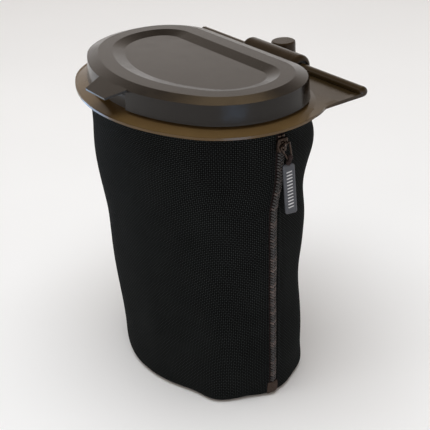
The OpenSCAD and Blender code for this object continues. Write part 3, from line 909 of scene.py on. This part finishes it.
def build_slider():
    """Front and back plates joined by the divider, a skirt down each side and the pull's bridge."""
    parts = []
    for points, low, high in (
        (rounded(FRONT_PLATE, 1.1), 1.9, 2.85),
        (rounded(BACK_PLATE, 0.8), -2.45, -1.65),
        (SKIRT, 0.6, 1.95),
        ([(-across, up) for across, up in reversed(SKIRT)], 0.6, 1.95),
        (DIVIDER, -1.7, 1.95),
    ):
        points = [(across * MM, up * MM) for across, up in points]
        parts.append(prism(points, (low * MM, high * MM), SLIDER))
    path = [SLIDER @ Vector((out * MM, 0, up * MM)) for out, up in BRIDGE]
    parts.append(tube(path, 0.8 * MM, 0.5 * MM, lambda i: ZIP_REAR, sides=12))
    vertices, faces = joined(parts)
    piece = new_object("slider_body", vertices, faces, METAL)
    add_modifier(piece, "BEVEL", width=0.22 * MM, segments=2, limit_method="ANGLE",
                 angle_limit=math.radians(40))
    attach(piece, "slider")
    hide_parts("zip_slider")


PULL_OFF = 1.2 * MM                         # the pull sits this far off the middle of its bridge
PULL_LEN = 13.5 * MM
PULL_W = 10 * MM
PULL_UP = PULL_AXIS.cross(-ZIP_OUT).normalized()
if PULL_UP.z < 0:
    PULL_UP = -PULL_UP
PULL = place_from(PULL_AT, PULL_AXIS, PULL_AXIS.cross(PULL_UP), PULL_UP)


def build_pull():
    """A triangular wire loop, wide at the slider's bridge and narrow at the tag."""
    half, foot = PULL_W / 2 - 0.7 * MM, 1.9 * MM
    low = -PULL_LEN + 0.9 * MM
    loop = rounded([(-half, 0), (-foot, low), (foot, low), (half, 0)], 1.0 * MM, 4)
    path = [PULL @ Vector((0, across + PULL_OFF, up)) for across, up in loop]
    dense = []
    for i, p in enumerate(path):
        q = path[(i + 1) % len(path)]
        pieces = max(1, round((q - p).length / (1.2 * MM)))
        dense += [p.lerp(q, k / pieces) for k in range(pieces)]
    outward = PULL_AXIS.cross(PULL_UP)

    def side(i):
        return outward.cross(dense[(i + 1) % len(dense)] - dense[i - 1])

    vertices, faces = tube(dense, 0.78 * MM, 0.58 * MM, side, sides=12, closed=True)
    piece = new_object("pull_frame", vertices, faces, METAL)
    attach(piece, "pull")
    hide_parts("zip_pull")


TAG_LOW, TAG_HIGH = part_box("pull_tag")
TAG_MIDDLE = (TAG_LOW + TAG_HIGH) / 2
TAG_LEN = TAG_HIGH.z - TAG_LOW.z
TAG_TWIST = math.radians(16)
TAG_W = 9.6 * MM
TAG_T = 2.2 * MM
TAG_LEAN = math.radians(2)
TAG_SHIFT = 1.2 * MM                        # the tag hangs this far towards the front at its top


def tag_place():
    out = Vector((math.cos(TAG_TWIST), -math.sin(TAG_TWIST), 0))
    across = Vector((0, 0, 1)).cross(out)
    up = Vector((0, 0, 1)) * math.cos(TAG_LEAN) - across * math.sin(TAG_LEAN)
    top = Vector((TAG_MIDDLE.x, TAG_MIDDLE.y, TAG_HIGH.z)) - across * TAG_SHIFT
    return place_from(top, up.cross(out), out, up)


def build_tag():
    """A rubber tag with a raised rim and plain raised bars."""
    place = tag_place()
    half = TAG_W / 2
    corners = [(-half, 0), (-half, -TAG_LEN), (half, -TAG_LEN), (half, 0)]
    body = rounded(corners, 2 * MM, 6)
    piece = new_object("tag_body", *prism(body, (-TAG_T / 2, TAG_T / 2 - 0.25 * MM), place), TAG)
    add_modifier(piece, "BEVEL", width=0.5 * MM, segments=3, limit_method="ANGLE",
                 angle_limit=math.radians(50))
    edge = 1 * MM
    corners = [(-half + edge, -edge), (-half + edge, -TAG_LEN + edge),
               (half - edge, -TAG_LEN + edge), (half - edge, -edge)]
    inner = rounded(corners, 1.4 * MM, 5)
    path = [place @ Vector((TAG_T / 2 - 0.3 * MM, across, up)) for across, up in inner]
    level = place.to_3x3() @ Vector((0, 1, 0.3))
    wire = tube(path, 0.4 * MM, 0.3 * MM, lambda i: level, sides=8, closed=True)
    rim = new_object("tag_rim", *wire, TAG)
    bars = []
    count, half_bar, slope = 12, 1.9 * MM, 0.35 * MM
    face = TAG_T / 2 - 0.25 * MM
    for k in range(count):
        z = -6.2 * MM - (TAG_LEN - 12 * MM) * k / (count - 1)
        start = place @ Vector((face, -half_bar, z - slope))
        end = place @ Vector((face, half_bar, z + slope))
        bars.append(capsule(start, end, 0.46 * MM))
    ribs = new_object("tag_ribs", *joined(bars), TAG_RIB)
    for part in (piece, rim, ribs):
        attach(part, "tag")
    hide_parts("pull_tag")


def build_loop():
    """Webbing round the foot of the pull, its two ends sewn together above the tag."""
    out = PULL_AXIS.cross(PULL_UP)
    place = tag_place()
    end = place @ Vector((0, 0, -1.5 * MM))
    radius, steps = 1.75 * MM, 14
    path = []
    for k in range(steps + 1):
        t = math.radians(-60 + 300 * k / steps)
        path.append(TAG_AT + (out * math.cos(t) + PULL_UP * math.sin(t)) * radius)
    tag_side = place.to_3x3() @ Vector((0, 1, 0))
    tag_out = place.to_3x3() @ Vector((1, 0, 0))
    apart, rise = tag_out * 0.5 * MM, Vector((0, 0, 2.4 * MM))
    full = [end + apart, end + apart + rise] + path + [end - apart + rise, end - apart]
    sides = [tag_side] * 2 + [PULL_AXIS] * len(path) + [tag_side] * 2
    vertices, faces = tube(full, 1.9 * MM, 0.42 * MM, lambda i: sides[i], sides=10)
    length = [0.0]
    for a, b in zip(full, full[1:]):
        length.append(length[-1] + (b - a).length)
    turns = [2 * math.pi * k / 10 for k in range(10)]
    uvs = [(2 * MM * math.cos(turns[i % 10]), length[i // 10]) for i in range(len(vertices))]
    piece = new_object("loop_strap", vertices, faces, WEBBING, uvs)
    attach(piece, "tag")
    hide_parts("tag_loop")


build_slider()
build_pull()
build_tag()
build_loop()

# ---------------------------------------------------------------- stitching


def zip_seam(side, distance):
    """Stitches that hold a tape under the panel's edge."""
    low, step = 6, 2.2
    heights = [(low + step * k) * MM for k in range(int((TAPE_TOP / MM - low) / step))]
    path = [zip_point(z, side * distance, 0.1 * MM) for z in heights]
    normals = [zip_frame(z)[2] for z in heights]
    side_name = "rear" if side > 0 else "front"
    piece = stitches("zip_seam_" + side_name, path, lambda i: normals[i], THREAD)
    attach(piece, "frame")
    return piece


SEAMS = [zip_seam(side, 6.6 * MM) for side in (-1, 1)]

# ---------------------------------------------------------------- floor, lights and camera


def build_floor():
    """A plain pale floor, just below the base so that the two never share a plane."""
    size, level = 6.0, -0.2 * MM
    rows = [[Vector((x, y, level)) for x in (-size, 0, size)] for y in (-size, 0, size)]
    vertices, faces = grid(rows)
    shader = Shader("pale_floor", Specular_IOR_Level=0.15)
    colour = shader.ramp(shader.noise(3, 2), [(0.3, (0.93, 0.93, 0.93)), (0.7, (0.95, 0.95, 0.95))])
    material = shader.finish(colour, shader.scaled(shader.noise(5, 2), 0.7, 0.8))
    new_object("studio_floor", vertices, faces, material)


def area_light(name, place, target, size, power, colour, glossy=True, diffuse=True):
    data = bpy.data.lights.new(name, "AREA")
    data.shape = "RECTANGLE"
    data.size, data.size_y = size
    data.energy = power
    data.color = colour
    light = bpy.data.objects.new(name, data)
    light.visible_camera = False
    light.visible_glossy = glossy
    light.visible_diffuse = diffuse
    light.location = place
    light.rotation_mode = "QUATERNION"
    light.rotation_quaternion = (Vector(target) - Vector(place)).to_track_quat("-Z", "Y")
    bpy.context.scene.collection.objects.link(light)


def build_world():
    """A plain studio: bright at and below the horizon, and dimmer overhead."""
    world = bpy.data.worlds.new("studio")
    bpy.context.scene.world = world
    world.use_nodes = True
    nodes, links = world.node_tree.nodes, world.node_tree.links
    where = nodes.new("ShaderNodeTexCoord")
    split = nodes.new("ShaderNodeSeparateXYZ")
    ramp = nodes.new("ShaderNodeValToRGB")
    links.new(where.outputs["Generated"], split.inputs[0])
    links.new(split.outputs[2], ramp.inputs[0])
    stops = [(0.0, (1.10, 1.06, 1.04)), (0.20, (1.0, 0.94, 0.90)), (0.40, (0.80, 0.70, 0.62)),
             (0.56, (0.46, 0.39, 0.33)), (0.75, (0.14, 0.12, 0.10)), (1.0, (0.09, 0.08, 0.075))]
    elements = ramp.color_ramp.elements
    while len(elements) < len(stops):
        elements.new(0.5)
    for element, (position, colour) in zip(elements, stops):
        element.position = position
        element.color = (*colour, 1)
    background = nodes["Background"]
    links.new(ramp.outputs[0], background.inputs[0])
    background.inputs[1].default_value = 1.0


# The camera fitted to the lid, the rim and the rail
CAMERA_AT = Vector((0.6583, -0.4103, 0.5367))
CAMERA_BACK = Vector((0.73900, -0.48935, 0.46305)).normalized()
CAMERA_UP = Vector((-0.35179, 0.30587, 0.88469))
CAMERA_LENS = 85.44


def build_camera():
    """The camera, level with its own up direction and looking along CAMERA_BACK."""
    data = bpy.data.cameras.new("camera")
    data.sensor_width = 36
    data.lens = CAMERA_LENS
    data.clip_start, data.clip_end = 0.01, 50
    camera = bpy.data.objects.new("camera", data)
    right = CAMERA_UP.cross(CAMERA_BACK).normalized()
    up = CAMERA_BACK.cross(right)
    place = Matrix.Identity(4)
    for column, axis in enumerate((right, up, CAMERA_BACK)):
        for row in range(3):
            place[row][column] = axis[row]
    place.translation = CAMERA_AT
    camera.matrix_world = place
    bpy.context.scene.collection.objects.link(camera)
    bpy.context.scene.camera = camera


build_floor()
build_world()
area_light("warm_strip", (-0.75, 0.5, 1.9), (0, 0, 0.25), (1.3, 0.5), 3.4, (1.0, 0.72, 0.42), diffuse=False)
area_light("overhead", (0.1, -0.2, 2.4), (0, 0, 0), (2.2, 2.2), 52, (0.925, 0.965, 1.0), glossy=False)
COOL = (0.36, 0.62, 1.0)
area_light("cool_left", (-0.46, -0.20, 0.004), (-0.3, -0.1, 0.5), (0.34, 0.24), 0.9, COOL, diffuse=False)
area_light("cool_right", (0.60, -0.28, 0.004), (0.3, -0.1, 0.5), (0.34, 0.24), 1.2, COOL, diffuse=False)
build_camera()
bpy.context.scene.view_settings.view_transform = "Standard"
